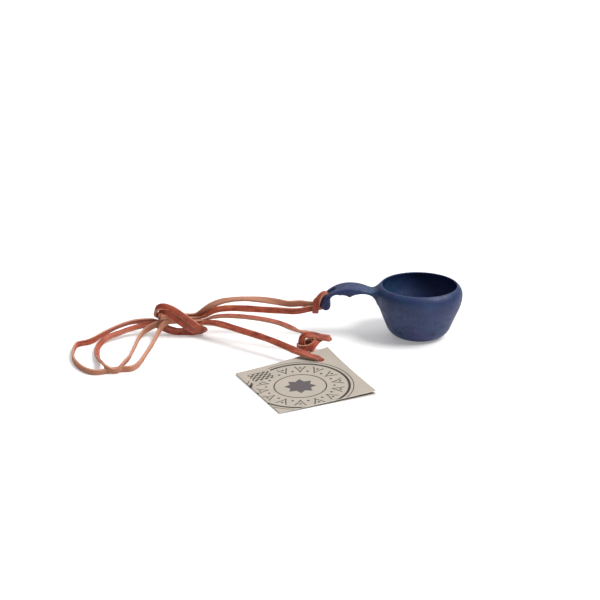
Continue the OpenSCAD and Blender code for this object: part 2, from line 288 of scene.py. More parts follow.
HALF_B = [
    (-66.6, 0, 15.7, DOWN), (-66.6, -1.8, 15.9, (0, -.25, -1)), (-66.6, -3.0, 17.2, (0, -1, -.6)),
    (-66.4, -3.4, 19.6, FRONT), (-65.8, -3.2, 22.4, FRONT), (-65.1, -2.6, 24.6, (-.7, -.7, .4)),
    (-63.8, -1.8, 26.7, (-.7, -.3, .7)), (-62.1, -.9, 28.3, (-.5, 0, .9)), (-60.2, -.3, 28.8, (.2, 0, 1)),
    (-58.9, 0, 27.8, (.84, 0, .55)), (-58.2, 0, 26.2, (.84, 0, .55)), (-57.8, 0, 24.4, (1, 0, 0)),
    (-58.1, -.3, 22, (1, 0, -.2)), (-59.1, -.8, 19.8, (.6, 0, -.8)), (-61, -1.1, 18.8, DOWN),
    (-64, -1.2, 18.6, (0, -.4, -.9)), (-67.6, -.95, 18.7, FRONT),
    (-70.4, -1.2, 18.3, FRONT), (-78.3, -1.2, 16.7, FRONT), (-89.8, -.8, 17, FRONT),
    (-101.3, -.5, 17.5, (0, -.9, .4)), (-112.8, -.1, 18.1, None), (-121.5, .1, 18.2, None),
    (-128.4, .3, 17.5, None), (-134.2, .5, 15.6, (0, -.85, .5)),
    # round the bundle
    (-140, 2.4, 11.2, (0, .2, 1)), (-147.5, 4, 9, (0, 1, .4)), (-156, 4.2, 8.8, (0, 1, .2)),
    (-162.6, 3.4, 9.4, (-.3, 1, 0)), (-166.2, 2, 10.6, (-.9, .3, 0)), (-167.2, .2, 13.4, (-1, 0, .2)),
    (-165.8, -2, 17, (-.6, -.4, .6)), (-163.2, -4, 17.3, (-.2, -.9, .4)),
    (-159.9, -4.9, 15.5, (-.1, -.95, .3)), (-156.2, -5.4, 12.8, (-.1, -.95, .3)),
    (-152, -5.7, 9.9, (-.1, -.95, .3)), (-148, -5.7, 7, (.1, -.95, 0)),
    (-144.4, -5.2, 4.6, (.3, -.9, -.3)), (-142.6, -3.6, 3.3, (.8, -.5, -.3)),
    (-145, -1.8, 2.2, (.2, -.9, -.2)),
    (-149, -1, 2.1, (0, -1, .1)), (-156, -.8, 2.2, (0, -1, .1)), (-161, -1, 3.2, (0, -1, .1)),
    (-165, -1.6, 5.2, (0, -1, .1)), (-170, -1, 7.4, (0, -.9, .3)),
    # inner loop
    (-175.8, -.9, 7, (0, -.6, .8)), (-186.1, -3.5, 5.2, (.1, -.4, .9)), (-192.6, -8.3, 4.3, (.2, -.4, .9)),
    (-198.9, -13.3, 3.4, (.4, -.4, .8)), (-202.4, -19.2, 2.6, (.7, -.2, .7)),
    (-203.8, -28, 2.2, (.7, 0, .7)),
    (-203.1, -36.9, 2.2, (.7, .1, .7)), (-201.2, -45.7, 2.4, (.7, .2, .6)),
    (-199.4, -50.4, 3, (.6, .3, .7)),
    (-197.8, -56.4, 4.4, (.4, .6, .75)), (-195.8, -61.6, 5.1, (.2, .9, .6)),
    (-193.6, -64.4, 4.2, (0, 1, .4)),
    (-190.6, -65, 2.5, (0, 1, .1)), (-187.4, -64.5, 2.2, (0, 1, .1)), (-185, -62.8, 3.5, (-.4, .9, .3)),
    (-183.7, -59.2, 4.8, (-.8, .4, .4)), (-183, -53, 3.7, (-1, .2, .3)),
    (-182.2, -44, 2.3, (-1, .1, .3)), (-181, -29, 2.1, (-1, .1, .3)),
    (-179.4, -13, 2.8, (-1, .2, .2)), (-176.4, -5.6, 4.7, (-.7, .6, .1)), (-170.6, -3, 7.6, (-.3, 1, 0)),
    # through the bundle
    (-163.5, -1, 9.4, (0, 1, 0)), (-156, .6, 9.2, (0, 1, .3)), (-149, .6, 8.2, (0, .6, .8)),
    (-142, -1.8, 8.6, (0, 0, 1)), (-139, -4, 9.8, (-.1, -.5, .9)),
    # tie strand through the tag
    (-129.6, -11, 12, (-.2, -.65, .75)), (-112, -23.5, 11.5, (-.2, -.7, .7)),
    (-95, -36, 10.6, (-.2, -.7, .7)),
    (-84, -44.6, 9.2, (-.2, -.7, .7)), (-76, -49.6, 7.6, (-.1, -.5, .85)), (-70, -52.4, 6.4, (0, -.3, 1)),
    (-66.4, -53.7, 6, (.2, -.1, 1)), (-64.5, -54, 5, (.6, -.4, .6)), (-63.9, -53.9, 3.2, (.7, -.7, 0)),
    (-64.3, -52.7, 1.8, (.4, -.6, -.7)), (-65.4, -50.4, 1.3, DOWN), (-68.2, -43.4, 1.3, DOWN),
    (-69.2, -36, 1.1, DOWN), (-68.8, -32.6, 1.9, (.2, -.5, -.8)), (-67.6, -30.6, 4.8, (.7, -.7, .1)),
    (-68, -28.2, 7.4, (.5, -.1, .8)), (-70.2, -25.9, 6.2, (-.1, .9, .3)),
    (-73.2, -25.4, 4.2, (-.3, 1, -.1)),
    (-76.2, -27, 3.8, (-.8, .6, 0)), (-77.9, -30, 4, (-1, 0, 0)), (-77, -33, 4, (-.8, -.7, 0)),
    (-74.2, -34.2, 4.1, (-.1, -1, 0)), (-70.6, -34.2, 4.8, (.1, -1, .1)),
    (-67.6, -32.8, 6.2, (.4, -.9, .1)),
    (-65.8, -30.6, 7.8, (.6, -.6, .4)), (-63.4, -28.6, 8.9, (.1, -.6, .8)),
    (-59.4, -27.8, 8.9, (.2, -.5, .85)),
    (-58, -28, 8.2, (.8, -.3, .4)), (-57.7, -28.3, 7, (1, 0, 0)),
]


def unit(v):
    return v / np.maximum(np.linalg.norm(v, axis=-1, keepdims=True), 1e-12)


def smooth_line(points):
    """A centripetal Catmull-Rom curve through points, and how many given points each one is along it."""
    p = np.vstack([2 * points[0] - points[1], points, 2 * points[-1] - points[-2]])
    out, place = [], []
    for i in range(1, len(p) - 2):
        p0, p1, p2, p3 = p[i - 1:i + 3]
        t0 = 0.0
        t1 = t0 + np.linalg.norm(p1 - p0) ** 0.5
        t2 = t1 + np.linalg.norm(p2 - p1) ** 0.5
        t3 = t2 + np.linalg.norm(p3 - p2) ** 0.5
        steps = max(LEAST_STEPS, int(np.linalg.norm(p2 - p1) / FINE_STEP))
        for t in np.linspace(t1, t2, steps, endpoint=False):
            a1 = (t1 - t) / (t1 - t0) * p0 + (t - t0) / (t1 - t0) * p1
            a2 = (t2 - t) / (t2 - t1) * p1 + (t - t1) / (t2 - t1) * p2
            a3 = (t3 - t) / (t3 - t2) * p2 + (t - t2) / (t3 - t2) * p3
            b1 = (t2 - t) / (t2 - t0) * a1 + (t - t0) / (t2 - t0) * a2
            b2 = (t3 - t) / (t3 - t1) * a2 + (t - t1) / (t3 - t1) * a3
            out.append((t2 - t) / (t2 - t1) * b1 + (t - t1) / (t2 - t1) * b2)
            place.append(i - 1 + (t - t1) / (t2 - t1))
    out.append(points[-1])
    place.append(len(points) - 1.0)
    return np.array(out), np.array(place)


def blur(values, sigma, step):
    """Gaussian smoothing along the lace. Past its two ends the end values go on."""
    reach = int(3 * sigma / step) + 1
    kernel = np.exp(-0.5 * (np.arange(-reach, reach + 1) * step / sigma) ** 2)
    kernel /= kernel.sum()
    padded = np.concatenate([np.repeat(values[:1], reach, 0), values, np.repeat(values[-1:], reach, 0)])
    return np.stack([np.convolve(padded[:, k], kernel, "valid") for k in range(values.shape[1])], 1)


def lace_line(rows):
    """Evenly spaced centre points, tangents and grain-side directions along a half of the lace."""
    points = np.array([r[:3] for r in rows], float)
    fine, place = smooth_line(points)
    length = np.concatenate([[0], np.cumsum(np.linalg.norm(np.diff(fine, axis=0), axis=1))])
    count = int(round(length[-1] / RING_STEP)) + 1
    at = np.linspace(0, length[-1], count)
    centre = np.stack([np.interp(at, length, fine[:, k]) for k in range(3)], 1)
    step = at[1]
    centre[1:-1] = blur(centre, LINE_BLUR, step)[1:-1]
    tangent = unit(np.gradient(centre, axis=0))
    marks = [i for i, r in enumerate(rows) if r[3] is not None]
    mark_at = np.interp(marks, place, length)
    faces = unit(np.array([rows[i][3] for i in marks], float))
    face = np.stack([np.interp(at, mark_at, faces[:, k]) for k in range(3)], 1)
    for _ in range(3):
        face = unit(face - (face * tangent).sum(1, keepdims=True) * tangent)
        face = blur(face, FACE_BLUR, step)
    face = unit(face - (face * tangent).sum(1, keepdims=True) * tangent)
    return centre, tangent, face, at


def lace_section():
    """Points round the lace's cross section, grain side first, and how far round each one is."""
    a, b, r = LACE_W / 2, LACE_T / 2, LACE_CORNER

    def corner(cx, cy, angles):
        return [(cx + r * math.cos(q), cy + r * math.sin(q)) for q in map(math.radians, angles)]

    across = np.linspace(-(a - r), a - r, 6)
    points = [(x, b) for x in across]
    points += corner(a - r, b - r, (60, 30, 0)) + corner(a - r, r - b, (0, -30, -60))
    points += [(x, -b) for x in across[::-1]]
    points += corner(r - a, r - b, (240, 210, 180)) + corner(r - a, b - r, (180, 150, 120))
    points = np.array(points)
    gap = np.linalg.norm(np.roll(points, -1, 0) - points, axis=1)
    return points, np.concatenate([[0], np.cumsum(gap)])


def wander(at, seed, waves):
    """A smooth, seeded wave along the lace, about -1 to 1."""
    rng = np.random.default_rng(seed)
    total = np.zeros_like(at)
    for wave in waves:
        total += np.sin(2 * math.pi * at / (wave * rng.uniform(0.85, 1.2)) + rng.uniform(0, 2 * math.pi))
    return total / math.sqrt(len(waves))


def lace_mesh(name, line, seed, material):
    centre, tangent, face, at = line
    side = np.cross(tangent, face)
    section, around = lace_section()
    slim = np.clip((LOOPS_X - centre[:, 0]) / LOOPS_FADE, 0, 1)
    wide = 1 + WIDTH_WANDER * wander(at, seed, WIDTH_WAVES) - LOOPS_NARROW * slim
    thick = 1 + THICK_WANDER * wander(at, seed + 1, THICK_WAVES) - LOOPS_THIN * slim
    n, m = len(at), len(section)
    rings = (centre[:, None]
             + side[:, None] * (section[None, :, :1] * wide[:, None, None])
             + face[:, None] * (section[None, :, 1:] * thick[:, None, None]))
    # what lies close to the floor rests on it
    low = rings[:, :, 2].min(1)
    rings[:, :, 2] -= blur(np.where(low < FLOOR_REACH, low, 0)[:, None], FACE_BLUR, RING_STEP)
    rings[:, :, 2] = np.maximum(rings[:, :, 2], 0)
    verts = rings.reshape(-1, 3)
    faces, uv = [], []
    for i in range(n - 1):
        for k in range(m):
            j = (k + 1) % m
            faces.append((i * m + k, (i + 1) * m + k, (i + 1) * m + j, i * m + j))
            uv += [(around[k], at[i]), (around[k], at[i + 1])]
            uv += [(around[k + 1], at[i + 1]), (around[k + 1], at[i])]
    # ends: a slightly smaller ring, then a flat cap
    for end, out in ((0, -1), (n - 1, 1)):
        base = len(verts)
        inset = centre[end] + END_SCALE * (rings[end] - centre[end]) + out * END_OUT * tangent[end]
        verts = np.vstack([verts, inset, centre[end] + out * CAP_OUT * tangent[end]])
        for k in range(m):
            j = (k + 1) % m
            for poly in ((end * m + k, base + k, base + j, end * m + j), (base + k, base + m, base + j)):
                faces.append(poly if out > 0 else poly[::-1])
                uv += [(END_U, at[end])] * len(poly)
    return make_object(name, verts, faces, material, uv)


def leather():
    """Smooth grain on one broad side, paler fibrous flesh on the other, and cut edges between."""
    g = Graph("lace_leather")
    uv = g.node("UVMap", 0, uv_map="mm")
    around = g.node("SeparateXYZ", 0, {"Vector": uv})
    total = lace_section()[1][-1]
    broad = LACE_W - 2 * LACE_CORNER
    edge = (total - 2 * broad) / 2
    share = g.math("DIVIDE", around, total)
    white, black = (1, 1, 1, 1), (0, 0, 0, 1)

    def bands(*stops):
        return g.ramp(share, [(mm / total, color) for mm, color in stops])

    grain_mask = bands((0, white), (broad + .15, white), (broad + .4, black),
                       (total - .45, black), (total - .15, white))
    flesh_mask = bands((0, black), (broad + edge - .35, black), (broad + edge, white),
                       (2 * broad + edge, white), (2 * broad + edge + .35, black))
    streak = g.noise(g.scaled(uv, (0.35, 0.06, 1)), scale=1.0, detail=4, roughness=0.6)
    mottle = g.noise(uv, scale=0.22, detail=3, roughness=0.55)
    pores = g.noise(uv, scale=3.2, detail=2, roughness=0.6)
    fibre = g.noise(g.scaled(uv, (2.5, 0.7, 1)), scale=2.2, detail=4, roughness=0.7)
    grain = g.mix(g.span(mottle, .35, .68), rgb(116, 42, 28), rgb(170, 76, 50))
    grain = g.mix(g.span(streak, .45, .75), grain, rgb(188, 98, 67))
    grain = g.mix(g.span(pores, .58, .75, 0, .45), grain, rgb(82, 33, 25))
    flesh = g.mix(g.span(fibre, .3, .7), rgb(148, 92, 70), rgb(194, 142, 117))
    flesh = g.mix(g.span(mottle, .4, .7, 0, .6), flesh, rgb(170, 102, 76))
    cut = g.mix(g.span(fibre, .3, .7), rgb(160, 98, 74), rgb(206, 154, 128))
    color = g.mix(flesh_mask, g.mix(grain_mask, cut, grain), flesh)
    rough = g.mix(grain_mask, (.82, .82, .82, 1), g.span(pores, .3, .7, .42, .6))
    height = g.math("ADD", g.math("MULTIPLY", pores, .6), g.math("MULTIPLY", fibre, .5))
    return g.finish(color, rough, specular=0.4, normal=g.bump(height, 0.5, 0.00025))


def make_lace():
    material = leather()
    parts = {
        "lace_half_upper": (HALF_A, 11, ("lace_hitch", "lead_strand_upper", "bundle_knot", "outer_loop",
                                         "tie_strand_knot", "stopper_knot", "lace_ends")),
        "lace_half_lower": (HALF_B, 23, ("lead_strand_lower", "inner_loop", "tie_strand_tag")),
    }
    for name, (rows, seed, nodes) in parts.items():
        line = lace_line(rows)
        piece = lace_mesh(name, line, seed, material)
        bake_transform(piece)
        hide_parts(*nodes)


make_lace()


# ---------------------------------------------------------------- the cup

GRID = 0.5
BASE_R, FOOT_R, SLOPE, BELLY_R, BELLY_Z, BEND_R = 10.5, 11, 21.9, 27.7, 28.5, 22.2
WALL, LIP_R, LIP_X, RIM_Z = 2.8, 0.5, 24.3, 34.5
# the outlines close well past the axis and above the rim
PAST_AXIS, ABOVE_RIM = -30, 8


def arc(centre, r, start, end, steps=24):
    q = np.radians(np.linspace(start, end, steps + 1))
    return np.stack([centre[0] + r * np.cos(q), centre[1] + r * np.sin(q)], 1)


def bowl_outlines():
    """The bowl's wall and its cavity, as closed outlines of radius and height."""
    lip_z = RIM_Z - LIP_R
    rise, run = lip_z - BELLY_Z, BELLY_R - LIP_X
    out_r = (run * run + rise * rise - LIP_R ** 2) / (2 * (run - LIP_R))
    out_c = BELLY_R - out_r
    out_end = math.degrees(math.atan2(rise, LIP_X - out_c))
    in_run = run - WALL
    in_r = (in_run * in_run + rise * rise - LIP_R ** 2) / (2 * (in_run + LIP_R))
    in_c = BELLY_R - WALL - in_r
    in_end = math.degrees(math.atan2(rise, LIP_X - in_c))
    belly_c = BELLY_R - BEND_R

    def profile(inward, upper_c, upper_r, upper_end, lip_start):
        return np.vstack([
            arc((BASE_R, FOOT_R), FOOT_R - inward, -90, -SLOPE),
            arc((belly_c, BELLY_Z), BEND_R - inward, -SLOPE, 0),
            arc((upper_c, BELLY_Z), upper_r, 0, upper_end),
            arc((LIP_X, lip_z), LIP_R, lip_start, 90)])

    outer = profile(0, out_c, out_r, out_end, out_end)
    inner = profile(WALL, in_c, in_r, in_end, 180 + in_end)
    top = RIM_Z + ABOVE_RIM
    wall = np.vstack([[[PAST_AXIS, 0]], outer, inner[::-1], [[PAST_AXIS, WALL]]])
    cavity = np.vstack([[[PAST_AXIS, WALL]], inner, [[LIP_X, top], [PAST_AXIS, top]]])
    return wall, cavity


def outline_distance(outline, points):
    """Signed distance of points from a closed outline, negative inside."""
    best = np.full(len(points), 1e9)
    inside = np.zeros(len(points), bool)
    for a, b in zip(outline, np.roll(outline, -1, 0)):
        ab = b - a
        long = ab @ ab
        if long < 1e-12:
            continue
        ap = points - a
        t = np.clip((ap @ ab) / long, 0, 1)
        best = np.minimum(best, ((ap - t[:, None] * ab) ** 2).sum(1))
        crosses = (a[1] > points[:, 1]) != (b[1] > points[:, 1])
        if abs(ab[1]) > 1e-12:
            inside ^= crosses & (points[:, 0] < a[0] + (points[:, 1] - a[1]) / ab[1] * ab[0])
    return np.where(inside, -1, 1) * np.sqrt(best)


class Table:
    """An outline's signed distance, looked up on a fine grid."""

    def __init__(self, outline, low, high, step=0.2):
        self.low, self.step = np.array(low, float), step
        self.size = ((np.array(high) - low) / step).astype(int) + 2
        u = self.low[0] + step * np.arange(self.size[0])
        v = self.low[1] + step * np.arange(self.size[1])
        grid = np.stack(np.meshgrid(u, v, indexing="ij"), -1).reshape(-1, 2)
        self.values = outline_distance(np.asarray(outline, float), grid).reshape(self.size)

    def __call__(self, u, v):
        a = np.clip((u - self.low[0]) / self.step, 0, self.size[0] - 1.001)
        b = np.clip((v - self.low[1]) / self.step, 0, self.size[1] - 1.001)
        i, j = a.astype(int), b.astype(int)
        fa, fb = a - i, b - j
        t = self.values
        return ((t[i, j] * (1 - fa) + t[i + 1, j] * fa) * (1 - fb)
                + (t[i, j + 1] * (1 - fa) + t[i + 1, j + 1] * fa) * fb)


NECK_R, CREST_R, CREST_END, CREST = 14, 32, 21, (44.5, 34.2)
TIP_R, BULB_R, BULB_ANGLE = 22, 3.5, 32
SCALLOPS = (((37.4, 16.5), 13.1), ((49.5, 21.8), 7.1), ((53, 25), 4.1))
ROOT, UNDER_ROOT = (16, 27), ((26.8, 24.2), (21, 20.5))
HANDLE_W, NECK_W, TIP_CORNER, FLARE_R = 15, 12, 5.5, 16
SLOT_W, SLOT_L, SLOT_ANGLE = 4.2, 9.2, 53
GROOVE = ((61.4, 27.4), (61, 24.5), (61.2, 22.6), (62.2, 21.9), (75, 21.9),
          (75, 10), (50, 10), (50, 27.4))
EDGE_R, SLOT_EDGE_R, ROOT_BLEND = 1.35, 0.55, 4.2
# the handle's side faces sink by CROWN toward its edges
CROWN, CROWN_LIMIT = 0.55, 1.2
SLOT_OUT, SLOT_IN = 8, 14
BOWL_BOX, SIDE_BOX, PLAN_BOX = ((-1, -6), (70, 42)), ((8, 0), (70, 42)), ((8, -34), (70, 34))
CUP_LOW, CUP_HIGH = (-65.25, -28.75, -1.25), (28.75, 28.75, 35.75)
RELAX_TIMES = 4


def handle_outlines():
    tip_c = np.array([CREST[0], CREST[1] - TIP_R])
    q = math.radians(BULB_ANGLE)
    bulb_c = tip_c + (TIP_R - BULB_R) * np.array([math.cos(q), math.sin(q)])
    crest_c = np.array([CREST[0], CREST[1] - CREST_R])
    q = math.radians(CREST_END)
    neck_c = crest_c + (CREST_R + NECK_R) * np.array([-math.sin(q), math.cos(q)])
    side = np.vstack([
        [ROOT, (ROOT[0], neck_c[1] - NECK_R)], arc(neck_c, NECK_R, -90, -90 + CREST_END),
        arc(crest_c, CREST_R, 90 + CREST_END, 90), arc(tip_c, TIP_R, 90, BULB_ANGLE, 40),
        arc(bulb_c, BULB_R, BULB_ANGLE, -200, 48), [SCALLOPS[1][0], SCALLOPS[0][0]], UNDER_ROOT])
    tip_x = bulb_c[0] + BULB_R
    half = HANDLE_W / 2
    top = np.vstack([
        [[14, 9]], arc((27, NECK_W / 2 + FLARE_R), FLARE_R, -120, -90), [[31, NECK_W / 2]],
        [[33.6, NECK_W / 2 + .45], [36.2, half - .35]],
        [[39, half]], arc((tip_x - TIP_CORNER, half - TIP_CORNER), TIP_CORNER, 90, 0)])
    plan = np.vstack([top, top[::-1] * (1, -1)])
    return side, plan


wall_outline, cavity_outline = bowl_outlines()
side_outline, plan_outline = handle_outlines()
wall_table = Table(wall_outline, *BOWL_BOX)
cavity_table = Table(cavity_outline, *BOWL_BOX)
side_table = Table(side_outline, *SIDE_BOX)
groove_table = Table(GROOVE, *SIDE_BOX)
plan_table = Table(plan_outline, *PLAN_BOX)


def round_and(a, b, r):
    """Both a and b, with an edge of radius r where they meet."""
    a, b = a + r, b + r
    return np.minimum(np.maximum(a, b), 0) + np.hypot(np.maximum(a, 0), np.maximum(b, 0)) - r


def round_or(a, b, k):
    """Either a or b, with a fillet about k wide where they meet."""
    h = np.clip(0.5 + 0.5 * (b - a) / k, 0, 1)
    return b + (a - b) * h - k * h * (1 - h)


def slot_distance(out, y, z):
    """The lace's slot through the handle's end, and the groove that carries it on underneath."""
    q = math.radians(SLOT_ANGLE)
    nx, nz = math.cos(q), math.sin(q)
    from_x, from_z = out - (CREST[0] + TIP_R * nx), z - (CREST[1] - TIP_R + TIP_R * nz)
    along, deep = from_z * nx - from_x * nz, from_x * nx + from_z * nz
    slot = np.hypot(np.maximum(np.abs(along) - (SLOT_L - SLOT_W) / 2, 0), y) - SLOT_W / 2
    slot = np.maximum(slot, np.maximum(deep - SLOT_OUT, -deep - SLOT_IN))
    return np.minimum(slot, np.maximum(groove_table(out, z), np.abs(y) - SLOT_W / 2))


def cup_distance(p):
    """Roughly the signed distance of points from the whole cup's surface, negative inside."""
    x, y, z = p[:, 0], p[:, 1], p[:, 2]
    radius, out = np.hypot(x, y), -x
    side = side_table(out, z)
    for (cx, cz), r in SCALLOPS:
        side = np.maximum(side, r - np.hypot(out - cx, z - cz))
    side = side + CROWN * np.clip(y / (HANDLE_W / 2), -CROWN_LIMIT, CROWN_LIMIT) ** 2
    handle = round_and(side, plan_table(out, y), EDGE_R)
    handle = round_and(handle, -slot_distance(out, y, z), SLOT_EDGE_R)
    whole = round_or(wall_table(radius, z), handle, ROOT_BLEND)
    return np.maximum(whole, -cavity_table(radius, z))


def both_sides(axis):
    """Two indexes that pick each grid point but the last along axis, and its neighbour."""
    near, far = [slice(None)] * 3, [slice(None)] * 3
    near[axis], far[axis] = slice(0, -1), slice(1, None)
    return tuple(near), tuple(far)


def surface_net(low, high, step):
    """A quad mesh on the zero surface of cup_distance, one vertex per cell that it crosses."""
    axes = [np.arange(a, b + step, step) for a, b in zip(low, high)]
    shape = [len(a) for a in axes]
    values = np.empty(shape, np.float32)
    yy, zz = np.meshgrid(axes[1], axes[2], indexing="ij")
    for i, x in enumerate(axes[0]):
        points = np.stack([np.full(yy.size, x), yy.ravel(), zz.ravel()], 1)
        values[i] = cup_distance(points).reshape(yy.shape)
    inside = values < 0
    cells = [n - 1 for n in shape]
    total, hits = np.zeros((*cells, 3)), np.zeros(cells)
    for axis in range(3):
        near, far = both_sides(axis)
        cross = inside[near] != inside[far]
        with np.errstate(divide="ignore", invalid="ignore"):
            t = np.where(cross, values[near] / (values[near] - values[far]), 0)
        first, second = [other for other in range(3) if other != axis]
        for d0, d1 in ((0, 0), (0, 1), (1, 0), (1, 1)):
            pick = [slice(None)] * 3
            pick[first] = slice(d0, d0 + cells[first])
            pick[second] = slice(d1, d1 + cells[second])
            found = cross[tuple(pick)]
            hits += found
            total[..., axis] += np.where(found, t[tuple(pick)], 0)
            total[..., first] += found * d0
            total[..., second] += found * d1
    active = hits > 0
    index = np.full(cells, -1)
    index[active] = np.arange(active.sum())
    verts = (np.argwhere(active) + total[active] / hits[active][:, None]) * step + np.array(low)
    quads = []
    for axis in range(3):
        near, far = both_sides(axis)
        first, second = (axis + 1) % 3, (axis + 2) % 3
        found = np.argwhere(inside[near] != inside[far])
        for other in (first, second):
            found = found[(found[:, other] > 0) & (found[:, other] < shape[other] - 1)]
        corners = []
        for d0, d1 in ((0, 0), (1, 0), (1, 1), (0, 1)):
            at = found.copy()
            at[:, first] -= 1 - d0
            at[:, second] -= 1 - d1
            corners.append(index[tuple(at.T)])
        quad = np.stack(corners, 1)
        flip = ~inside[tuple(found.T)]
        quad[flip] = quad[flip][:, ::-1]
        quads.append(quad)
    return verts, np.vstack(quads)


def onto_surface(verts, times=2, reach=0.3, probe=0.05):
    """Moves points onto the zero surface of cup_distance, down its slope."""
    for _ in range(times):
        slope = np.stack([cup_distance(verts + way) - cup_distance(verts - way)
                          for way in np.eye(3) * probe], 1) / (2 * probe)
        size = np.maximum((slope ** 2).sum(1), 0.25)
        verts = verts - (np.clip(cup_distance(verts), -reach, reach) / size)[:, None] * slope
    return verts


def relax(verts, quads, times):
    """Evens out the mesh along its own surface."""
    edges = np.vstack([quads[:, [k, (k + 1) % 4]] for k in range(4)])
    for _ in range(times):
        total, count = np.zeros_like(verts), np.zeros(len(verts))
        np.add.at(total, edges[:, 0], verts[edges[:, 1]])
        np.add.at(count, edges[:, 0], 1)
        np.add.at(total, edges[:, 1], verts[edges[:, 0]])
        np.add.at(count, edges[:, 1], 1)
        verts = onto_surface(verts + 0.5 * (total / count[:, None] - verts), 1)
    return verts


def composite():
    """Dark blue wood-fibre composite: slow changes of tint, darker blotches and fine pale specks."""
    g = Graph("cup_composite")
    place = g.node("TexCoord", "Object")
    height_up = g.node("SeparateXYZ", 2, {"Vector": place})
    moved = g.node("Mapping", 0, {"Vector": place, "Location": (.3, .1, .2)})
    big = g.noise(place, scale=55, detail=3, roughness=0.55)
    blotch = g.noise(place, scale=210, detail=4, roughness=0.6, distortion=0.4)
    speck = g.noise(place, scale=900, detail=2, roughness=0.5)
    fibre = g.noise(g.scaled(place, (1, 1, 0.35)), scale=1500, detail=3, roughness=0.6)
    tint = g.noise(moved, scale=80, detail=2, roughness=0.5)
    low = g.span(height_up, .004, .02, 1, 0)
    dark = g.math("MULTIPLY", g.span(blotch, .56, .66), g.math("ADD", .35, g.math("MULTIPLY", low, .6)))
    base = g.mix(g.span(big, .35, .65), rgb(26, 40, 80), rgb(39, 53, 95))
    base = g.mix(g.span(tint, .5, .75, 0, .75), base, rgb(27, 62, 93))
    base = g.mix(g.span(tint, .25, .42, .7, 0), base, rgb(52, 48, 98))
    base = g.mix(dark, base, rgb(12, 17, 32))
    base = g.mix(g.span(speck, .64, .73, 0, .4), base, rgb(96, 108, 148))
    base = g.mix(g.span(fibre, .62, .8, 0, .25), base, rgb(88, 98, 136))
    rough = g.span(blotch, .3, .7, .42, .6)
    height = g.math("ADD", g.math("MULTIPLY", fibre, .5), g.math("MULTIPLY", speck, .35))
    return g.finish(base, rough, specular=0.36, normal=g.bump(height, 0.35, 0.0001))


def make_cup():
    step = GRID
    verts, quads = surface_net(CUP_LOW, CUP_HIGH, step)
    verts = relax(onto_surface(verts), quads, RELAX_TIMES)
    cup = make_object("cup_moulding", verts, quads, composite())
    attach(cup, "cup")
    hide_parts("cup")


make_cup()


# ---------------------------------------------------------------- the hang tag

SIDE, LEAF_T, LEAF_GAP, GAPE = 62, 0.35, 0.3, 1.2
TAG_C, TAG_TURN, CURL, CURL_POWER = (-73.5, -81), 26, 5.2, 3.5
HOLE, HOLE_D, HOLE_STEPS, HOLE_CLEAR = (0.33 * SIDE, 0.325 * SIDE), 4.6, 32, 0.7
PITCH, FOLD_STEPS, FOLD_ROWS = 2.0, 6, 32
# a face's place on its leaf is moved along x by this much on the underside and on a cut edge
UNDER_U, EDGE_U = 100, 200


def curl_z(x, y):
    """The leaf's height: it curls up toward the corner that the lace holds."""
    d = (x + y) / SIDE
    return CURL * np.maximum((d + 1) / 2, 0) ** CURL_POWER


def turned(a, b, degrees):
    """The directions a and b turned about the third one, from a toward b."""
    q = math.radians(degrees)
    return a * math.cos(q) - b * math.sin(q), a * math.sin(q) + b * math.cos(q)


def leaf_outline():
    """Corners and triangles of one flat leaf, and the corners round its border and its hole."""
    half = SIDE / 2
    line = np.linspace(-half, half, int(SIDE / PITCH) + 1)
    border = ([(x, -half) for x in line[:-1]] + [(half, y) for y in line[:-1]]
              + [(x, half) for x in line[::-1][:-1]] + [(-half, y) for y in line[::-1][:-1]])
    hole = [(HOLE[0] + HOLE_D / 2 * math.cos(q), HOLE[1] + HOLE_D / 2 * math.sin(q))
            for q in np.linspace(0, 2 * math.pi, HOLE_STEPS, endpoint=False)]
    inner = [(x, y) for x in line[1:-1] for y in line[1:-1]
             if math.hypot(x - HOLE[0], y - HOLE[1]) > HOLE_D / 2 + HOLE_CLEAR]
    nb, nh = len(border), len(hole)
    edges = [(k, (k + 1) % nb) for k in range(nb)] + [(nb + k, nb + (k + 1) % nh) for k in range(nh)]
    points = [Vector(p) for p in border + hole + inner]
    verts, _, tris, *_ = geometry.delaunay_2d_cdt(points, edges, [], 0, 1e-6)
    verts = np.array([tuple(v) for v in verts])
    tris = [t for t in tris if np.hypot(*(verts[list(t)].mean(0) - HOLE)) > HOLE_D / 2 - 0.05]
    return verts, tris, list(range(nb)), list(range(nb, nb + nh))


def fold_strip(base):
    """The bend that joins the two leaves: its corners, numbered from base, its faces and their uv."""
    half, m = SIDE / 2, 2 * (FOLD_STEPS + 1)
    ys = np.linspace(-half, half, FOLD_ROWS + 1)
    outer_r, inner_r = (2 * LEAF_T + LEAF_GAP) / 2, LEAF_GAP / 2
    verts, faces, uv = [], [], []
    for y in ys:
        middle = curl_z(-half, y) + outer_r
        for r in (outer_r, inner_r):
            for q in np.radians(np.linspace(90, 270, FOLD_STEPS + 1)):
                verts.append((-half + r * math.cos(q), y, middle + r * math.sin(q)))
    for i in range(FOLD_ROWS):
        for k in range(FOLD_STEPS):
            a, b = base + i * m + k, base + (i + 1) * m + k
            faces.append((a, a + 1, b + 1, b))
            faces.append(tuple(v + FOLD_STEPS + 1 for v in (a, b, b + 1, a + 1)))
            uv += [(-half, ys[i])] * 8
    for i in (0, FOLD_ROWS):
        for k in range(FOLD_STEPS):
            a = base + i * m + k
            quad = (a, a + FOLD_STEPS + 1, a + FOLD_STEPS + 2, a + 1)
            faces.append(quad if i == 0 else quad[::-1])
            uv += [(EDGE_U, ys[i])] * 4
    return verts, faces, uv


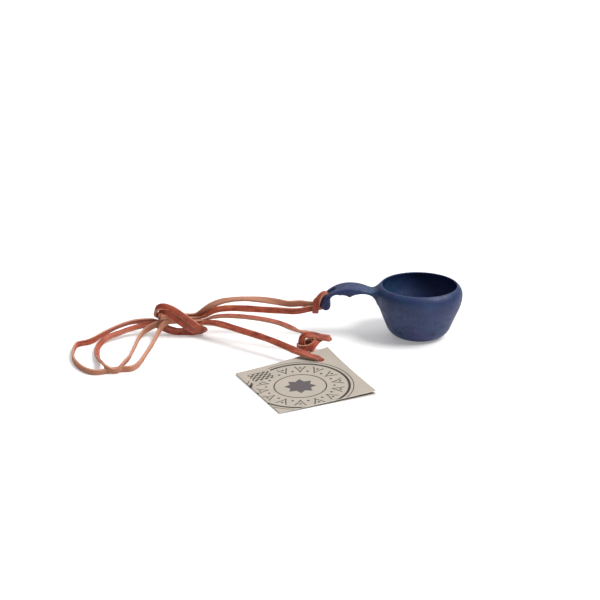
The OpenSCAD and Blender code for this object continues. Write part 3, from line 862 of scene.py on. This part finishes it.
def leaf(name, lift, gape, material, body, node, fold=False):
    """One leaf of the card, raised by lift and opened by gape about the fold."""
    flat, tris, border, hole = leaf_outline()
    n = len(flat)
    z = curl_z(flat[:, 0], flat[:, 1])
    verts = np.vstack([np.column_stack([flat, z]), np.column_stack([flat, z + LEAF_T])])
    under = [tuple(t[::-1]) for t in tris]
    upper = [tuple(n + i for i in t) for t in tris]
    walls = []
    for loop, inward in ((border, False), (hole, True)):
        for a, b in zip(loop, loop[1:] + loop[:1]):
            quad = (a, b, n + b, n + a)
            walls.append(quad[::-1] if inward else quad)
    faces, uv = [], []
    for group, shift in ((under, UNDER_U), (upper, 0), (walls, EDGE_U)):
        faces += group
        uv += [(flat[i % n, 0] + shift, flat[i % n, 1]) for face in group for i in face]
    if lift:
        x, z = turned(verts[:, 0] + SIDE / 2, verts[:, 2], gape)
        verts[:, 0], verts[:, 2] = x - SIDE / 2, z + lift
    if fold:
        strip, strip_faces, strip_uv = fold_strip(len(verts))
        verts = np.vstack([verts, strip])
        faces += strip_faces
        uv += strip_uv
    x, y = turned(verts[:, 0], verts[:, 1], TAG_TURN)
    verts[:, 0], verts[:, 1] = x + TAG_C[0], y + TAG_C[1]
    piece = make_object(name, verts, faces, material, uv, smooth=False)
    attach(piece, body)
    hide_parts(node)


# the print, in mm on the leaf: each ring is a radius and a line width, each block is x and y limits
RING_C = (-5.2, -4.2)
RINGS = ((31.6, 0.55), (29.1, 1.5), (15.5, 0.75))
TEETH, TEETH_R, TEETH_TALL, TEETH_LINE, TEETH_REACH = 14, 22.2, 6.0, 0.6, 3.9
DOTS, DOT_R = ((0.0, 24.3), (0.5, 20.2)), 0.78
CHECKS, CHECKS_PITCH, CHECKS_SHIFT = (-26.7, -13.1, 14.2, 24.8), 3.4, (100.1, 100.3)
CLEAR = (-28.4, -11.7, 12.7, 26.6)
STAR_POINTS, STAR_R, STAR_LEAN = 8, 5.6, 0.95
SOFT = 0.08


class Print:
    """Masks that are 1 on the printed figure and 0 off it."""

    def __init__(self, graph, x, y):
        g = self.g = graph
        self.x, self.y = x, y
        across, up = self.minus(x, RING_C[0]), self.minus(y, RING_C[1])
        self.r = self.far(across, up)
        self.angle = g.math("ARCTAN2", up, across)

    def minus(self, a, b):
        return self.g.math("SUBTRACT", a, b)

    def times(self, a, b):
        return self.g.math("MULTIPLY", a, b)

    def far(self, a, b):
        return self.g.math("SQRT", self.g.math("ADD", self.times(a, a), self.times(b, b)))

    def off(self, value, middle):
        return self.g.math("ABSOLUTE", self.minus(value, middle))

    def either(self, a, b):
        return self.g.math("MAXIMUM", a, b)

    def below(self, value, limit):
        """1 where value is under limit, with a soft edge."""
        room = self.g.math("ADD", self.minus(limit, value), SOFT)
        return self.g.math("DIVIDE", room, 2 * SOFT, clamp=True)

    def ring(self, radius, width):
        return self.below(self.off(self.r, radius), width / 2)

    def block(self, x0, x1, y0, y1):
        return self.times(self.below(self.off(self.x, (x0 + x1) / 2), (x1 - x0) / 2),
                          self.below(self.off(self.y, (y0 + y1) / 2), (y1 - y0) / 2))

    def sector(self, count, shift=0.0):
        """Angle from the middle of the nearest of count equal sectors, in radians."""
        turns = self.g.math("ADD", self.times(self.angle, count / (2 * math.pi)), shift + 100)
        return self.times(self.minus(self.g.math("FRACT", turns), 0.5), 2 * math.pi / count)

    def rings(self):
        outer, thick, inner = [self.ring(*each) for each in RINGS]
        return self.either(self.either(outer, thick), inner)

    def band(self):
        """A plain zigzag with dots between its points."""
        saw = self.times(self.g.math("ABSOLUTE", self.sector(TEETH)), 2 * TEETH / math.pi)
        line_r = self.g.math("ADD", self.times(self.minus(saw, 0.5), TEETH_TALL), TEETH_R)
        line = self.below(self.times(self.off(self.r, line_r), 0.7), TEETH_LINE)
        band = self.times(line, self.below(self.off(self.r, TEETH_R), TEETH_REACH))
        for shift, radius in DOTS:
            dot = self.far(self.times(self.sector(TEETH, shift), radius), self.minus(self.r, radius))
            band = self.either(band, self.below(dot, DOT_R))
        return band

    def checks(self):
        """A small chequered block."""
        odd = []
        for value, shift in zip((self.x, self.y), CHECKS_SHIFT):
            place = self.g.math("ADD", self.g.math("DIVIDE", value, CHECKS_PITCH), shift)
            odd.append(self.g.math("GREATER_THAN", self.g.math("FRACT", place), 0.5))
        same = self.minus(1, self.g.math("ABSOLUTE", self.minus(*odd)))
        return self.times(same, self.block(*CHECKS))

    def ink(self):
        free = self.minus(1, self.block(*CLEAR))
        return self.either(self.times(self.either(self.rings(), self.band()), free), self.checks())

    def star(self):
        lean = self.minus(self.g.math("ABSOLUTE", self.sector(STAR_POINTS)), STAR_LEAN)
        return self.below(self.times(self.r, self.g.math("COSINE", lean)), STAR_R)


def card(name, printed):
    """Uncoated recycled card with paler cut edges, and a print on the front leaf's upper side."""
    g = Graph(name)
    uv = g.node("UVMap", 0, uv_map="mm")
    x, y = [g.node("SeparateXYZ", out, {"Vector": uv}) for out in (0, 1)]
    fibres = g.noise(g.scaled(uv, (1, 3.5, 1)), scale=1.4, detail=4, roughness=0.65)
    cloud = g.noise(uv, scale=0.09, detail=3, roughness=0.5)
    fleck = g.noise(uv, scale=2.6, detail=2, roughness=0.5)
    base = g.mix(g.span(cloud, .3, .7), rgb(168, 162, 151), rgb(180, 168, 156))
    base = g.mix(g.span(fibres, .35, .75, 0, .35), base, rgb(152, 142, 128))
    base = g.mix(g.span(fleck, .68, .76, 0, .5), base, rgb(126, 112, 96))
    base = g.mix(g.math("GREATER_THAN", x, (UNDER_U + EDGE_U) / 2), base, rgb(214, 210, 206))
    if printed:
        figure = Print(g, x, y)
        worn = g.span(fibres, .3, .75, 1.0, .86)
        upper = g.math("LESS_THAN", x, UNDER_U / 2)
        base = g.mix(g.math("MULTIPLY", figure.star(), worn), base, rgb(82, 76, 80))
        ink = g.math("MULTIPLY", g.math("MULTIPLY", figure.ink(), worn), upper)
        base = g.mix(ink, base, rgb(40, 33, 28))
    rough = g.span(fibres, .3, .7, .72, .86)
    return g.finish(base, rough, specular=0.25, normal=g.bump(fibres, 0.25, 0.00012))


leaf("tag_leaf_back", 0, 0, card("card_plain", False), "tag", "tag_back_leaf")
leaf("tag_leaf_front", LEAF_T + LEAF_GAP, GAPE, card("card_printed", True), "cover", "tag_front_leaf",
     fold=True)
